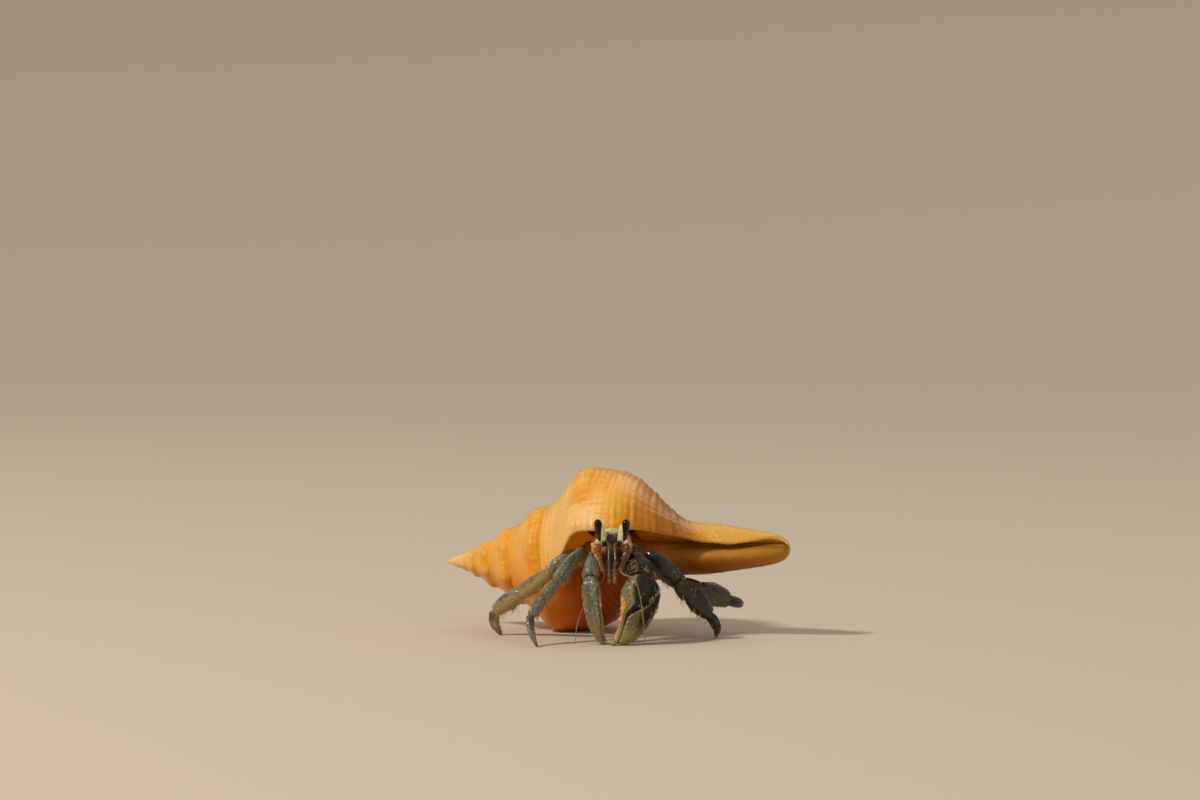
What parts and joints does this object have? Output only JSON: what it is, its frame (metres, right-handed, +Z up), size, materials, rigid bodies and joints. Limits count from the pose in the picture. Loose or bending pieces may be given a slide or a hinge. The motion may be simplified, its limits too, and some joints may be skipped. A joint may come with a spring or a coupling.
{
  "type": "hermit crab model",
  "caption": "Life-size land hermit crab walking with its body in a spindle-shaped sea snail's shell, claws and feelers lowered to the floor.",
  "frame": {"origin": "middle of the bounding box at floor level", "axes": "+X from the shell's apex side towards its canal end (the crab's left), +Y towards the crab's back, +Z up from the floor"},
  "size_m": [0.0388, 0.0286, 0.0186],
  "materials": {
    "snail_shell": "glossy wet orange shell with pale bands, fine spiral cords and brown patches between its knobs",
    "shield": "semi-gloss mottled cream and black carapace",
    "soft_skin": "soft tan skin",
    "eyestalk": "semi-gloss cream and maroon",
    "cornea": "glossy dark maroon",
    "feeler": "glossy ringed red-brown to olive",
    "mouthpart": "semi-gloss orange-brown",
    "claw_shell": "glossy granular grey-olive with cream hinges",
    "leg_shell": "glossy granular grey with pale joints, orange-gold hairs below"
  },
  "bodies": {
    "root": {"shell": "snail_shell", "thorax": "shield", "abdomen": "soft_skin", "eyestalk_left": "eyestalk", "eye_left": "cornea", "antennule_left": "feeler", "antenna_left": "feeler", "maxilliped_left": "mouthpart", "claw_left_arm": "claw_shell", "claw_left_carpus": "claw_shell", "claw_left_palm": "claw_shell", "claw_left_finger": "claw_shell", "leg4_left": "leg_shell", "eyestalk_right": "eyestalk", "eye_right": "cornea", "antennule_right": "feeler", "antenna_right": "feeler", "maxilliped_right": "mouthpart", "claw_right_arm": "claw_shell", "claw_right_carpus": "claw_shell", "claw_right_palm": "claw_shell", "claw_right_finger": "claw_shell", "leg4_right": "leg_shell", "leg2_left_base": "leg_shell", "leg2_left_merus": "leg_shell", "leg2_left_carpus": "leg_shell", "leg2_left_propodus": "leg_shell", "leg2_left_dactyl": "leg_shell", "leg2_right_base": "leg_shell", "leg2_right_merus": "leg_shell", "leg2_right_carpus": "leg_shell", "leg2_right_propodus": "leg_shell", "leg2_right_dactyl": "leg_shell", "leg3_left_base": "leg_shell", "leg3_left_merus": "leg_shell", "leg3_left_carpus": "leg_shell", "leg3_left_propodus": "leg_shell", "leg3_left_dactyl": "leg_shell", "leg3_right_base": "leg_shell", "leg3_right_merus": "leg_shell", "leg3_right_carpus": "leg_shell", "leg3_right_propodus": "leg_shell", "leg3_right_dactyl": "leg_shell"}
  },
  "joints": []
}
